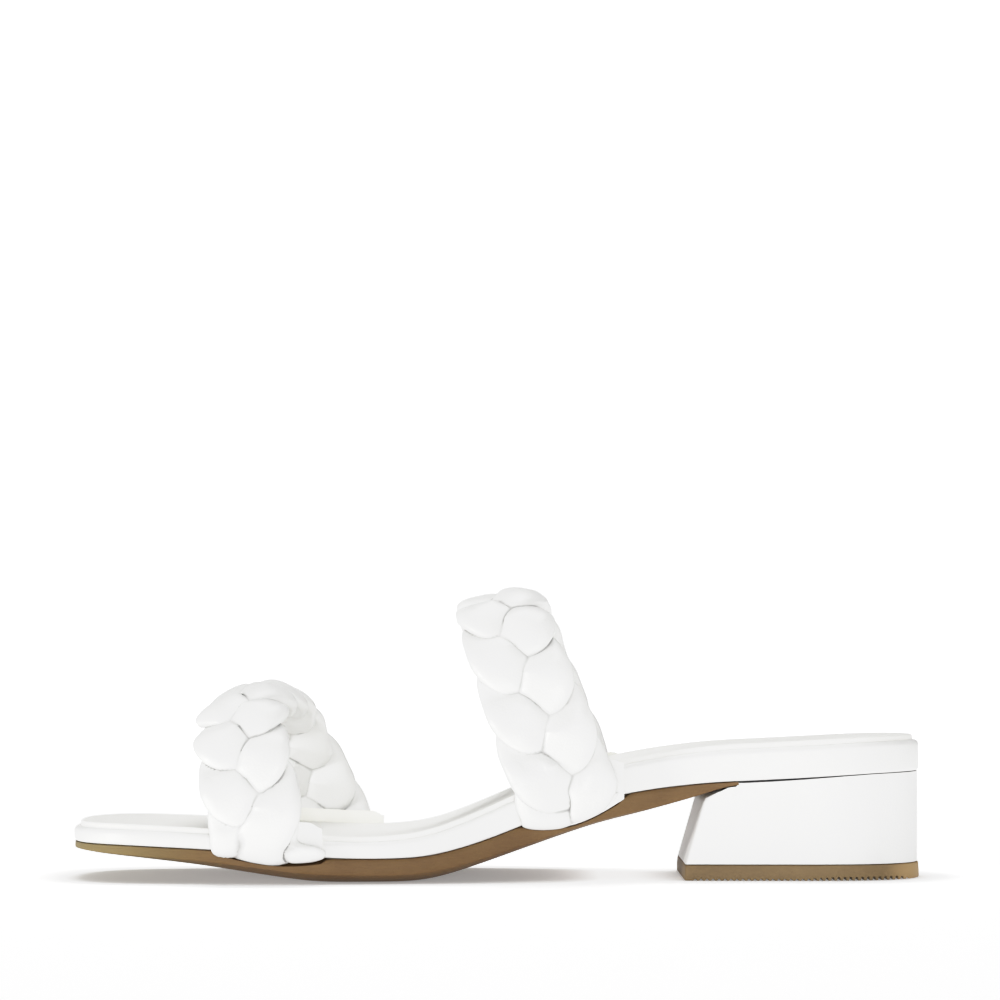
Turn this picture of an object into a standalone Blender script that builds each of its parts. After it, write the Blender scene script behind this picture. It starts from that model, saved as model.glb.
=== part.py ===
# Slide sandal, right shoe: two plaited straps over a wrapped footbed, a moulded outsole and a low block heel.
# The toe points along -Y, the medial side faces +X, and the floor is Z = 0.
# Lengths are in millimetres and angles in degrees; add_piece() turns a finished mesh into metres.

import math

import bmesh
import bpy
import numpy as np
from mathutils import Vector

for old in list(bpy.data.objects):
    bpy.data.objects.remove(old, do_unlink=True)

MM = 0.001
GAP = 0.3                 # air between two pieces that meet

# ---- driving dimensions -------------------------------------------------------------------------------------

TOE_Y = -125.0            # the shoe is 250 long
HEEL_Y = 125.0
TOE_ROUND = 24.0          # length over which the plan closes at the toe
TOE_POWER = 2.7           # 2 would be an ellipse; more is squarer
HEEL_ROUND = 27.0
HEEL_POWER = 2.3

# The last, station by station along the shoe:
#   medial, lateral  half widths of the footbed, from the axis
#   joint            height of the line where footbed and outsole meet
#   board            thickness of the wrapped footbed
#   tread            underside of the outsole along its middle
#   lift             how much higher that underside is at the outsole's edge
LAST_COLUMNS = ("y", "medial", "lateral", "joint", "board", "tread", "lift")
LAST = (
    (-125, 34.5, 32.0, 11.2, 4.4, 8.6, 0.6),
    (-110, 37.0, 35.4, 11.0, 4.5, 7.4, 0.9),
    (-95, 39.4, 38.2, 10.4, 4.5, 5.9, 1.3),
    (-80, 41.4, 40.5, 9.7, 4.5, 4.0, 1.9),
    (-65, 42.7, 42.3, 8.6, 4.6, 1.7, 2.4),
    (-50, 43.0, 43.3, 7.6, 4.7, 0.0, 2.5),
    (-38, 42.3, 43.5, 7.2, 4.7, 0.0, 2.3),
    (-24, 40.4, 43.1, 7.4, 5.4, 0.0, 2.4),
    (-8, 36.6, 41.5, 10.8, 7.1, 3.9, 1.7),
    (3, 33.8, 39.6, 14.8, 8.1, 7.6, 1.3),
    (13, 31.5, 37.8, 18.7, 8.4, 11.1, 1.2),
    (22, 29.7, 35.9, 21.6, 8.5, 14.2, 1.1),
    (31, 28.3, 34.0, 24.0, 8.5, 17.0, 1.0),
    (41, 27.2, 32.0, 26.1, 8.6, 19.3, 0.9),
    (52, 26.6, 30.2, 27.6, 8.9, 22.4, 0.6),
    (60, 26.6, 29.2, 28.4, 9.1, 24.9, 0.2),
    (64, 26.7, 28.8, 28.7, 9.2, 26.9, 0.0),
    (70.5, 26.9, 28.3, 29.0, 9.3, 28.0, 0.0),
    (85, 27.3, 27.6, 29.7, 9.3, 28.6, 0.0),
    (100, 27.4, 27.2, 30.6, 9.2, 29.5, 0.0),
    (112, 27.3, 27.0, 31.3, 9.1, 30.2, 0.0),
    (125, 27.2, 26.8, 31.6, 9.1, 30.5, 0.0),
)

TONGUE_Y = 70.0           # the outsole ends here, feathered between footbed and heel
LINING_INSET = 1.8        # sock lining, set in from the footbed's edge
LINING_THICK = 1.3

TONGUE_ROOM = 0.7         # from there to the step in the heel's seat
BREAST_TOP_Y = 60.6       # the heel's front face leans forward towards the floor
BREAST_FOOT_Y = 54.6
HEEL_INSET = 0.4
HEEL_TAPER = 0.955        # the heel's foot is this much narrower than its seat
TOP_LIFT = 4.5
TOP_LIFT_PROUD = 0.7

# One strand of a plait, and the plait that three of them make.
STRAND_SWING = 8.3        # sideways, from the strap's middle to the strand's own middle
STRAND_LINGER = 0.12      # 0 is a plain wave; more keeps the strand longer at the strap's edge
STRAND_RISE = 1.7         # up and down, as it passes over and under
STRAND_WIDTH = 15.0
STRAND_THICK = 6.0
END_TAPER = 9.0           # the plait is pressed flat over this length at each end

# Where each strap springs from the last, and the arch that it makes over the foot:
#   medial_y, lateral_y   middle of the plait at the joint line, on either side
#   lean                  of the arch's plane, towards the toe
#   crown_z, crown_x      highest point of the arch's middle surface
#   medial_power, ...     shape of either half of the arch, 2 for an ellipse
#   flare                 how far the legs stand out at half height
#   bow                   how far the lateral leg bends forward at half height
#   pitch, phase          length in which a strand comes back to its place, and where in it the plait starts
#   tab_shift, tab_half   middle of the tab past the plait's own middle, and half its width
#   tab_drop              depth of the tab's bulge below the joint line
#   tab_rise, tab_ends    height of the tab over the joint line, inside the plait and at its two ends
STRAPS = {
    "front_strap": dict(medial_y=-64.6, lateral_y=-51.2, lean=14.5, crown_z=51.8, crown_x=5.0,
                        medial_power=2.5, lateral_power=2.2, flare=0.8, bow=3.4, pitch=49.2, phase=0.234,
                        tab_shift=0.8, tab_half=15.0, tab_drop=3.0, tab_rise=8.6, tab_ends=4.2),
    "rear_strap": dict(medial_y=21.6, lateral_y=23.2, lean=20.0, crown_z=79.2, crown_x=4.0,
                       medial_power=2.4, lateral_power=2.2, flare=2.5, bow=0.0, pitch=54.0, phase=0.083,
                       tab_shift=0.9, tab_half=14.6, tab_drop=5.2, tab_rise=11.6, tab_ends=7.0),
}
TAB_THICK = 1.8
TAB_REACH = 11.0          # how far a tab runs in under the footbed
TAB_BULGE = (             # the tab's belly: outwards from the footbed's edge, share of its depth
    (2.4, 0.3),
    (1.7, 0.85),
    (0.7, 1.0),
    (-2.0, 0.9),
)
TAB_TIP = 0.9             # thickness of the tab at its hidden end, plus a share of the bulge's depth
TAB_TIP_SHARE = 0.35
POCKET_OPEN = 7.0         # the outsole's pocket runs this far past the edge
POCKET_HIGH = 3.0         # and this far over the joint line, so that it cuts the outsole's top and side away
PLAIT_SEAT = 4.8          # middle of the plait outside the footbed's edge
PLAIT_CLEAR = 1.0         # the plait's inner side never comes nearer than this to that edge
PLAIT_FOOT = 0.75         # the plait ends at this share of the tab's depth below the joint line
PLAIT_PRESSED = 0.5       # its thickness there, as a share of its full thickness
HUG_LOW, HUG_HIGH = 12.0, 40.0    # a leg follows the footbed's curve up to here, and lets go of it by here


# ---- curves of the last -------------------------------------------------------------------------------------

def smooth_column(name):
    """A curve through one column of the last that never swings past its own rows."""
    ys = np.array([row[0] for row in LAST], dtype=float)
    values = np.array([row[LAST_COLUMNS.index(name)] for row in LAST], dtype=float)
    slopes = np.diff(values) / np.diff(ys)
    tangents = np.zeros(len(ys))
    for i in range(1, len(ys) - 1):
        before, after = slopes[i - 1], slopes[i]
        if before * after > 0:
            tangents[i] = 2 * before * after / (before + after)
    tangents[0], tangents[-1] = slopes[0], slopes[-1]

    def value(y):
        i = int(np.clip(np.searchsorted(ys, y) - 1, 0, len(ys) - 2))
        span = ys[i + 1] - ys[i]
        t = (y - ys[i]) / span
        return float((2 * t**3 - 3 * t**2 + 1) * values[i] + (t**3 - 2 * t**2 + t) * span * tangents[i]
                     + (3 * t**2 - 2 * t**3) * values[i + 1] + (t**3 - t**2) * span * tangents[i + 1])

    return value


medial = smooth_column("medial")
lateral = smooth_column("lateral")
joint = smooth_column("joint")
board = smooth_column("board")
tread = smooth_column("tread")
lift = smooth_column("lift")


def closing(y):
    """1 along the shoe, falling to 0 round the toe and round the heel."""
    toe = max(0.0, (TOE_Y + TOE_ROUND - y) / TOE_ROUND)
    heel = max(0.0, (y - HEEL_Y + HEEL_ROUND) / HEEL_ROUND)
    power, q = (TOE_POWER, toe) if toe > 0 else (HEEL_POWER, heel)
    return (1 - min(q, 1.0) ** power) ** (1 / power)


def edge_x(y, side):
    """The footbed's edge at y: side is 1 for medial, -1 for lateral."""
    middle = (medial(y) - lateral(y)) / 2
    half = (medial(y) + lateral(y)) / 2
    return middle + side * half * closing(y)


def round_end(steps, length, power):
    """Distances from the start of a rounded end to its tip, closer together towards the tip."""
    return [length * math.sin(math.pi / 2 * i / steps) ** (2 / power) for i in range(1, steps + 1)]


END_STEPS = 8
STATIONS = sorted(
    [TOE_Y + TOE_ROUND - d for d in round_end(END_STEPS, TOE_ROUND, TOE_POWER)]
    + [-101, -92, -83, -74, -65, -56, -50, -42, -34, -24, -17, -10, -3, 4, 11, 18, 25, 32, 39, 46, 52, 57,
       BREAST_TOP_Y, 62.4, 65, TONGUE_Y, 78, 88, 98]
    + [HEEL_Y - HEEL_ROUND + d for d in round_end(END_STEPS, HEEL_ROUND, HEEL_POWER)])


def rims(inset):
    """Plan of the footbed, moved inwards: its medial and its lateral points, toe to heel, in pairs."""
    out = [Vector((edge_x(y, 1), y)) for y in STATIONS]
    back = [Vector((edge_x(y, -1), y)) for y in STATIONS]
    loop = out + back[-2:0:-1]
    count = len(loop)
    moved = []
    for i, point in enumerate(loop):
        along = (loop[(i + 1) % count] - loop[i - 1]).normalized()
        moved.append(point + inset * Vector((-along.y, along.x)))
    last = len(STATIONS) - 1
    return moved[:last + 1], [moved[-i % count] for i in range(last + 1)]


# ---- making solids ------------------------------------------------------------------------------------------

def finish(name):
    """Colour, roughness and metallic value of each piece."""
    colour, rough = {
        "outsole": ((0.25, 0.148, 0.075), 0.55),
        "top_lift": ((0.24, 0.155, 0.075), 0.6),
        "footbed": ((0.86, 0.86, 0.85), 0.45),
        "sock_lining": ((0.85, 0.84, 0.79), 0.6),
        "heel_block": ((0.86, 0.86, 0.85), 0.45),
        "front_strap": ((0.87, 0.87, 0.86), 0.42),
        "rear_strap": ((0.87, 0.87, 0.86), 0.42),
    }[name]
    material = bpy.data.materials.new(name + "_finish")
    material.use_nodes = True
    shader = material.node_tree.nodes["Principled BSDF"]
    shader.inputs["Base Color"].default_value = (*colour, 1.0)
    shader.inputs["Roughness"].default_value = rough
    shader.inputs["Metallic"].default_value = 0.0
    return material


def add_piece(name, points, faces):
    """A closed mesh as an object; the points are in millimetres."""
    mesh = bpy.data.meshes.new(name)
    mesh.from_pydata([tuple(c * MM for c in p) for p in points], [], faces)
    shape = bmesh.new()
    shape.from_mesh(mesh)
    bmesh.ops.recalc_face_normals(shape, faces=shape.faces)
    shape.to_mesh(mesh)
    shape.free()
    mesh.shade_smooth()
    mesh.set_sharp_from_angle(angle=math.radians(40))
    piece = bpy.data.objects.new(name, mesh)
    bpy.context.scene.collection.objects.link(piece)
    return piece


def stack(name, levels):
    """A solid from rims laid one over another. Each level is its medial and lateral points, paired along the
    shoe, with heights; a first or last pair that coincides is one point."""
    points, rings = [], []
    for near, far in levels:
        open_toe = (Vector(near[0]) - Vector(far[0])).length > 0.01
        open_heel = (Vector(near[-1]) - Vector(far[-1])).length > 0.01
        start = len(points)
        points += near
        near_ids = list(range(start, start + len(near)))
        first, last = (0 if open_toe else 1), (len(far) if open_heel else len(far) - 1)
        points += far[first:last]
        far_ids = list(range(start + len(near), len(points)))
        if not open_toe:
            far_ids = near_ids[:1] + far_ids
        if not open_heel:
            far_ids = far_ids + near_ids[-1:]
        rings.append((near_ids, far_ids))

    def tidy(face):
        """Drops a corner that repeats the one before it."""
        return [v for i, v in enumerate(face) if v != face[i - 1]]

    faces = []
    for ids in (rings[0], rings[-1]):
        for i in range(len(ids[0]) - 1):
            faces.append(tidy((ids[0][i], ids[0][i + 1], ids[1][i + 1], ids[1][i])))
    for low, high in zip(rings, rings[1:]):
        loops = []
        for near_ids, far_ids in (low, high):
            loops.append(tidy(near_ids + far_ids[::-1]))
        below, above = loops
        for i in range(len(below)):
            faces.append((below[i - 1], below[i], above[i], above[i - 1]))
    return add_piece(name, points, faces)


def level(inset, height, first=0, last=None):
    """One rim for stack(): the plan moved inwards, at a height that depends on y."""
    near, far = rims(inset)
    stop = len(near) if last is None else last + 1
    return ([(p.x, p.y, height(p.y)) for p in near[first:stop]],
            [(p.x, p.y, height(p.y)) for p in far[first:stop]])


def combine(piece, other, how):
    """Boolean of two pieces; the second one is used up."""
    step = piece.modifiers.new(how.lower(), "BOOLEAN")
    step.operation = how
    step.solver = "EXACT"
    step.object = other
    depsgraph = bpy.context.evaluated_depsgraph_get()
    mesh = bpy.data.meshes.new_from_object(piece.evaluated_get(depsgraph))
    piece.modifiers.clear()
    piece.data = mesh
    bpy.data.objects.remove(other, do_unlink=True)


def fill_cavities(piece):
    """Where a tab closes a hollow between two strands, the wall is solid: only the outer skin stays."""
    shape = bmesh.new()
    shape.from_mesh(piece.data)
    skins, seen = [], set()
    for seed in shape.faces:
        if seed in seen:
            continue
        skin, queue = [], [seed]
        seen.add(seed)
        while queue:
            face = queue.pop()
            skin.append(face)
            beside = {other for edge in face.edges for other in edge.link_faces} - seen
            seen |= beside
            queue += beside
        skins.append(skin)
    skins.sort(key=len)
    bmesh.ops.delete(shape, geom=[face for skin in skins[:-1] for face in skin], context="FACES")
    shape.to_mesh(piece.data)
    shape.free()


# ---- sole, footbed and heel ---------------------------------------------------------------------------------

def footbed_top(y):
    return joint(y) + board(y)


def make_footbed():
    corner, wrap = 0.9, 1.5       # small round below, wrapped round above
    return stack("footbed", [
        level(corner, joint),
        level(0.0, lambda y: joint(y) + corner),
        level(0.0, lambda y: footbed_top(y) - wrap),
        level(0.3 * wrap, lambda y: footbed_top(y) - 0.3 * wrap),
        level(wrap, footbed_top),
    ])


def make_sock_lining():
    seat, edge = GAP, 0.6
    return stack("sock_lining", [
        level(LINING_INSET, lambda y: footbed_top(y) + seat),
        level(LINING_INSET, lambda y: footbed_top(y) + seat + LINING_THICK - edge),
        level(LINING_INSET + edge, lambda y: footbed_top(y) + seat + LINING_THICK),
    ])


def outsole_edge(y, share):
    """Height on the outsole's edge: 0 where the underside turns up, 1 at the joint with the footbed."""
    low = tread(y) + min(lift(y), 0.4 * (joint(y) - GAP - tread(y)))
    return low + share * (joint(y) - GAP - low)


def make_outsole():
    last = STATIONS.index(TONGUE_Y)
    flat, turning, corner, side = 12.0, 2.4, 0.7, 0.2     # insets, from the tread's flat out to its upright edge
    return stack("outsole", [
        level(flat, tread, last=last),
        level(turning, lambda y: tread(y) + 0.6 * (outsole_edge(y, 0) - tread(y)), last=last),
        level(corner, lambda y: outsole_edge(y, 0.0), last=last),
        level(side, lambda y: outsole_edge(y, 0.2), last=last),
        level(side, lambda y: outsole_edge(y, 1.0), last=last),
    ])


def heel_seat(y):
    """Top of the heel block: under the outsole's tongue, then one step up to the footbed."""
    return tread(y) - GAP if y < TONGUE_Y + TONGUE_ROOM else joint(y) - GAP


def make_heel_block():
    first = STATIONS.index(BREAST_TOP_Y)
    near, far = level(HEEL_INSET, heel_seat, first=first)
    stretch = (HEEL_Y - BREAST_FOOT_Y) / (HEEL_Y - BREAST_TOP_Y)

    def foot(x, y, z):
        return (x * HEEL_TAPER, HEEL_Y - HEEL_INSET - (HEEL_Y - HEEL_INSET - y) * stretch, TOP_LIFT + GAP)

    step = [i for i, p in enumerate(near) if p[1] >= TONGUE_Y][0]
    for rim in (near, far):
        x, y, z = rim[step]
        rim[step:step + 1] = [(x, y + TONGUE_ROOM, z), (x, y + TONGUE_ROOM + GAP, joint(y) - GAP)]
    return stack("heel_block", [([foot(*p) for p in near], [foot(*p) for p in far]), (near, far)])


def make_top_lift():
    first = STATIONS.index(BREAST_TOP_Y)
    near, far = level(HEEL_INSET, heel_seat, first=first)
    levels = []
    for proud, z in ((TOP_LIFT_PROUD, 0.0), (0.5 * TOP_LIFT_PROUD, TOP_LIFT)):
        middle_y = (BREAST_FOOT_Y + HEEL_Y) / 2
        stretch = (HEEL_Y - HEEL_INSET - BREAST_FOOT_Y + 2 * proud) / (HEEL_Y - HEEL_INSET - BREAST_TOP_Y)
        rim = []
        for side in (near, far):
            rim.append([(x * HEEL_TAPER + math.copysign(proud, x) * closing(y),
                         middle_y + (y - (BREAST_TOP_Y + HEEL_Y - HEEL_INSET) / 2) * stretch - HEEL_INSET / 2,
                         z) for x, y, _ in side])
        levels.append(tuple(rim))
    return stack("top_lift", levels)


# ---- straps -------------------------------------------------------------------------------------------------

def ease(value, start, stop):
    """0 before start, 1 after stop, smooth between."""
    t = min(1.0, max(0.0, (value - start) / (stop - start)))
    return t * t * (3 - 2 * t)


class Arch:
    """The middle surface of a strap: s runs from the medial end over the foot, v across the strap."""

    TAIL = 14.0           # straight run below the joint line at either end, for the plait to end in
    SAMPLES = 240
    TAB_EDGE = 1.3        # depth of the tab's bulge at its two ends

    def __init__(self, size):
        self.size = size
        ends = {}
        for side, y in ((1, size["medial_y"]), (-1, size["lateral_y"])):
            ends[side] = Vector((edge_x(y, side) + side * PLAIT_SEAT, y, joint(y)))
        lean = math.radians(size["lean"])
        self.across = (ends[1] - ends[-1])
        self.across.z = 0
        self.across.normalize()
        back = Vector((-self.across.y, self.across.x, 0))
        self.up = math.cos(lean) * Vector((0, 0, 1)) - math.sin(lean) * back
        self.wide = math.cos(lean) * back + math.sin(lean) * Vector((0, 0, 1))
        self.springs = {side: end.y for side, end in ends.items()}
        whole = (ends[1] - ends[-1]).length
        share = (ends[1].x - size["crown_x"]) / (ends[1].x - ends[-1].x)
        foot = ends[1].lerp(ends[-1], share)
        height = (size["crown_z"] - foot.z) / math.cos(lean)
        points = [ends[1] - self.up * self.TAIL]
        for i in range(self.SAMPLES + 1):
            turn = math.pi * i / self.SAMPLES
            power = size["medial_power"] if turn < math.pi / 2 else size["lateral_power"]
            reach = whole * (share if turn < math.pi / 2 else 1 - share)
            cosine, sine = math.cos(turn), math.sin(turn)
            sway = math.copysign(abs(cosine) ** (2 / power), cosine) * reach
            sway += size["flare"] * math.sin(2 * turn)
            base = foot + self.across * sway
            base.z = foot.z + (ends[1].z - ends[-1].z) * sway / whole
            if turn > math.pi / 2:
                base -= back * size["bow"] * math.sin(2 * turn) ** 2
            points.append(base + self.up * height * max(sine, 0.0) ** (2 / power))
        points.append(ends[-1] - self.up * self.TAIL)
        self.points = np.array(points)
        steps = np.linalg.norm(np.diff(self.points, axis=0), axis=1)
        self.lengths = np.concatenate(([0], np.cumsum(steps))) - self.TAIL
        self.length = self.lengths[-1] - self.TAIL

    def middle(self, s):
        return Vector([float(np.interp(s, self.lengths, self.points[:, k])) for k in range(3)])

    def at(self, s, v):
        """A point of the middle surface. Low on the legs it follows the footbed's curved edge."""
        centre = self.middle(s)
        point = centre + self.wide * v
        side = 1 if s < self.length / 2 else -1
        rise = centre.z - joint(centre.y)
        hold = 1 - ease(rise, HUG_LOW, HUG_HIGH)
        hugging = centre.x + edge_x(point.y, side) - edge_x(self.springs[side], side)
        point.x += hold * (hugging - point.x)
        return point

    def outwards(self, s, v):
        along = self.at(s + 0.5, v) - self.at(s - 0.5, v)
        across = self.at(s, v + 0.5) - self.at(s, v - 0.5)
        return across.cross(along).normalized()

    def tab_depth(self, y, side):
        """How far the tab's bulge hangs below the joint line at y."""
        size = self.size
        middle = (size["medial_y"] if side > 0 else size["lateral_y"]) + size["tab_shift"]
        t = min(1.0, abs(y - middle) / size["tab_half"])
        return self.TAB_EDGE + (size["tab_drop"] - self.TAB_EDGE) * math.cos(t * math.pi / 2)


def strand(s, k, size):
    """Sideways place, height and sideways slope of strand k of a plait at length s. It passes over from the
    middle to the edge, and under from the edge to the middle."""
    turn = 2 * math.pi * (s / size["pitch"] + k / 3 + size["phase"])
    place = STRAND_SWING * (math.sin(turn) + STRAND_LINGER * math.sin(3 * turn))
    steepness = STRAND_SWING * 2 * math.pi / size["pitch"]
    slope = steepness * (math.cos(turn) + 3 * STRAND_LINGER * math.cos(3 * turn))
    return place, STRAND_RISE * math.sin(2 * turn), slope


def plait_faces(s, v, size):
    """Heights of the plait's outer and inner face over its middle surface."""
    outer, inner = -99.0, 99.0
    for k in range(3):
        place, height, slope = strand(s, k, size)
        off = (v - place) / math.hypot(1, slope) / (STRAND_WIDTH / 2)
        if abs(off) < 1:
            dome = STRAND_THICK / 2 * math.sqrt(1 - off * off)
            outer, inner = max(outer, height + dome), min(inner, height - dome)
    return outer, inner


def plait_edges(s, size):
    """The lowest and highest v that a strand reaches at s, and the heights of those two strands."""
    low, high = (99.0, 0.0), (-99.0, 0.0)
    for k in range(3):
        place, height, slope = strand(s, k, size)
        half = STRAND_WIDTH / 2 * math.hypot(1, slope)
        low = min(low, (place - half, height))
        high = max(high, (place + half, height))
    return low, high


PLAIT_LENGTHWISE = 88
PLAIT_ACROSS = 9
PLAIT_HALF = 14.0         # half the plait's width, before its edges are worked out


def make_plait(name, arch):
    """Three strands plaited close, as one wall with their outer faces, from joint line to joint line."""
    size = arch.size

    def end_of(v, side):
        """The s at which the line v comes down to where the plait ends, a little below the joint line."""
        s = -arch.TAIL if side > 0 else arch.length + arch.TAIL
        point = arch.at(s, v)
        while point.z < joint(point.y) - PLAIT_FOOT * arch.tab_depth(point.y, side):
            s += 0.5 * side
            point = arch.at(s, v)
        return s

    points, rings = [], []
    for i in range(PLAIT_LENGTHWISE + 1):
        share = i / PLAIT_LENGTHWISE
        outer_ids, inner_ids = [], []
        for j in range(PLAIT_ACROSS + 1):
            width = (1 - math.cos(math.pi * j / PLAIT_ACROSS)) / 2
            v = PLAIT_HALF * (2 * width - 1)
            for _ in range(2):        # the edges depend on s, and s a little on the edges
                start, stop = end_of(v, 1), end_of(v, -1)
                s = start + (stop - start) * share
                low, high = plait_edges(s, size)
                v = low[0] + (high[0] - low[0]) * width
            fullness = ease(min(s - start, stop - s), -2, END_TAPER)
            scale = PLAIT_PRESSED + (1 - PLAIT_PRESSED) * fullness
            point, outwards = arch.at(s, v), arch.outwards(s, v)
            if 0 < j < PLAIT_ACROSS:
                outer, inner = plait_faces(s, v, size)
            else:
                outer = inner = (low if j == 0 else high)[1]
            outer, inner = outer * scale, inner * scale
            free = ease(point.z - joint(point.y), size["tab_rise"], size["tab_rise"] + 12)
            nearest = PLAIT_CLEAR - PLAIT_SEAT - STRAND_THICK * free
            outer_ids.append(len(points))
            points.append(point + outwards * max(outer, nearest + 0.6))
            if 0 < j < PLAIT_ACROSS:
                inner_ids.append(len(points))
                points.append(point + outwards * max(inner, nearest))
        rings.append((outer_ids, inner_ids))

    faces = []
    for (outer_a, inner_a), (outer_b, inner_b) in zip(rings, rings[1:]):
        ring_a, ring_b = outer_a + inner_a[::-1], outer_b + inner_b[::-1]
        for j in range(len(ring_a)):
            faces.append((ring_a[j - 1], ring_a[j], ring_b[j], ring_b[j - 1]))
    for outer_ids, inner_ids in (rings[0], rings[-1]):
        under = [outer_ids[0]] + inner_ids + [outer_ids[-1]]
        for j in range(PLAIT_ACROSS):
            face = (outer_ids[j], outer_ids[j + 1], under[j + 1], under[j])
            faces.append(tuple(v for i, v in enumerate(face) if v != face[i - 1]))
    return add_piece(name, points, faces)


TAB_STEPS = 12


def sweep_tab(name, arch, side, section, past):
    """A section of (outwards from the footbed's edge, up from the joint line), swept along that edge."""
    size = arch.size
    middle = (size["medial_y"] if side > 0 else size["lateral_y"]) + size["tab_shift"]
    half = size["tab_half"] + past
    points = []
    for i in range(TAB_STEPS + 1):
        y = middle + half * (2 * i / TAB_STEPS - 1)
        corners = section(arch.tab_depth(y, side), 2 * i / TAB_STEPS - 1)
        points += [(edge_x(y, side) + side * out, y, joint(y) + up) for out, up in corners]
    count = len(corners)
    faces = [tuple(range(count)), tuple(range(len(points) - count, len(points)))]
    for i in range(TAB_STEPS):
        for j in range(count):
            k = (j + 1) % count
            faces.append((i * count + j, i * count + k, (i + 1) * count + k, (i + 1) * count + j))
    return add_piece(name, points, faces)


def tab_section(size):
    """The tab goes in under the footbed, bulges below the joint line and stands up inside the plait."""
    def section(depth, place):
        rise = size["tab_rise"] + (size["tab_ends"] - size["tab_rise"]) * ease(abs(place), 0.55, 1.0)
        inner_face = [(-TAB_REACH, -GAP), (GAP, -GAP), (GAP, rise)]
        belly = [(out, -share * depth) for out, share in TAB_BULGE]
        return inner_face + [(GAP + TAB_THICK, rise)] + belly + [(-TAB_REACH, -TAB_TIP_SHARE * depth - TAB_TIP)]
    return section


def pocket_section(depth, _):
    """The room in the outsole for a tab, open at the outsole's edge and top."""
    floor = -depth - GAP
    return ((-TAB_REACH - GAP, POCKET_HIGH), (POCKET_OPEN, POCKET_HIGH), (POCKET_OPEN, floor),
            (TAB_BULGE[-1][0], floor), (-TAB_REACH - GAP, -TAB_TIP_SHARE * depth - TAB_TIP - GAP))


def make_strap(name, outsole):
    arch = Arch(STRAPS[name])
    strap = make_plait(name, arch)
    for side in (1, -1):
        combine(strap, sweep_tab("tab", arch, side, tab_section(arch.size), 0.0), "UNION")
        combine(outsole, sweep_tab("pocket", arch, side, pocket_section, GAP), "DIFFERENCE")
    fill_cavities(strap)
    return strap


pieces = [make_footbed(), make_sock_lining(), make_heel_block(), make_top_lift()]
outsole = make_outsole()
pieces += [outsole] + [make_strap(name, outsole) for name in STRAPS]
for piece in pieces:
    piece.data.materials.clear()
    piece.data.materials.append(finish(piece.name))
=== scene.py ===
import math

import bmesh
import bpy
import numpy as np
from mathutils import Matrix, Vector
from mathutils.bvhtree import BVHTree


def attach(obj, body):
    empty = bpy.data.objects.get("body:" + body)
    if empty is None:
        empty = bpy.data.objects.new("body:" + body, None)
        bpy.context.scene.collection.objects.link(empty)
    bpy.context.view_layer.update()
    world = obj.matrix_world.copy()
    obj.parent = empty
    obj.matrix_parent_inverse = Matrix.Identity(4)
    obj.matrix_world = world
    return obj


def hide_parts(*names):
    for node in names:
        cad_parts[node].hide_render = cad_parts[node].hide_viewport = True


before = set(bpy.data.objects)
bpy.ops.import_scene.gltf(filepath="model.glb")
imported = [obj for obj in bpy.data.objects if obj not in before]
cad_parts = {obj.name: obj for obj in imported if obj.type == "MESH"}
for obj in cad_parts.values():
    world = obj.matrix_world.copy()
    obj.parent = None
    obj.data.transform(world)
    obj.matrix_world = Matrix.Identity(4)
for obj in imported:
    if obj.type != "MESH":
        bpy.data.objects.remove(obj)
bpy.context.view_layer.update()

mm = 0.001      # every shape is worked out in millimetres and made smaller at the end
print("frame loaded")


# Reading the last's shape off the solid model

last = {
    "footbedSpan": (-121.0, 121.5),     # from toe to heel, as far as a height can be read
    "liningSpan": (-119.0, 119.5),
    "treadSpan": (-111.0, 69.5),
    "rimSpan": (-118.0, 69.5),
    "farOff": 200.0,
    "heightSoft": 4,         # points over which a height is evened out
    "rimIn": 0.9,            # the lower edge of the outsole's side is read this far inside the outline
    "leastSide": 1.2,        # and the side is at least this high
    "outlinePoints": 300,
    "outlineSoft": 2.2,      # points over which the outline is evened out
    "outlineHeight": 2.0,    # over the joint line, where the footbed's side is upright
    "tongueY": 70.0,         # the outsole ends here, under the heel end of the footbed
}


def cadCopy(node):
    shape = bmesh.new()
    shape.from_mesh(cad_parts[node].data)
    bmesh.ops.scale(shape, vec=(1 / mm,) * 3, verts=shape.verts)
    bmesh.ops.remove_doubles(shape, verts=shape.verts, dist=0.01)
    return shape


def bellAverage(values, spread, closed=False):
    reach = int(3 * spread)
    bell = np.exp(-0.5 * (np.arange(-reach, reach + 1) / spread) ** 2)
    if closed:
        padded = np.pad(values, reach, mode="wrap")
    else:
        padded = np.pad(values, reach, mode="reflect", reflect_type="odd")
    return np.convolve(padded, bell / bell.sum(), mode="valid")


def curveThrough(ys, values):
    # a curve along the shoe that carries on straight past its two ends
    ys, values = np.array(ys), np.array(values)
    tail = 6        # this many steps at an end give its slope
    toeSlope = (values[tail] - values[0]) / (ys[tail] - ys[0])
    heelSlope = (values[-1] - values[-1 - tail]) / (ys[-1] - ys[-1 - tail])

    def height(y):
        past = min(y - ys[0], 0) * toeSlope + max(y - ys[-1], 0) * heelSlope
        return float(np.interp(y, ys, values)) + past

    return height


def heightAlong(node, above, span, across=lambda y: 0.0):
    # the upper or the lower face of a solid, followed from toe to heel
    tree = BVHTree.FromBMesh(cadCopy(node))
    way = Vector((0, 0, -1 if above else 1))
    ys, heights = [], []
    for y in np.arange(*span, 1.0):
        hit = tree.ray_cast(Vector((across(y), y, 0)) - way * last["farOff"], way)[0]
        if hit is not None:
            ys.append(y)
            heights.append(hit.z)
    return curveThrough(ys, bellAverage(heights, last["heightSoft"]))


jointHeight = heightAlong("footbed", False, last["footbedSpan"])
footbedTop = heightAlong("footbed", True, last["footbedSpan"])
liningTop = heightAlong("sock_lining", True, last["liningSpan"])
treadHeight = heightAlong("outsole", False, last["treadSpan"])


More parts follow.
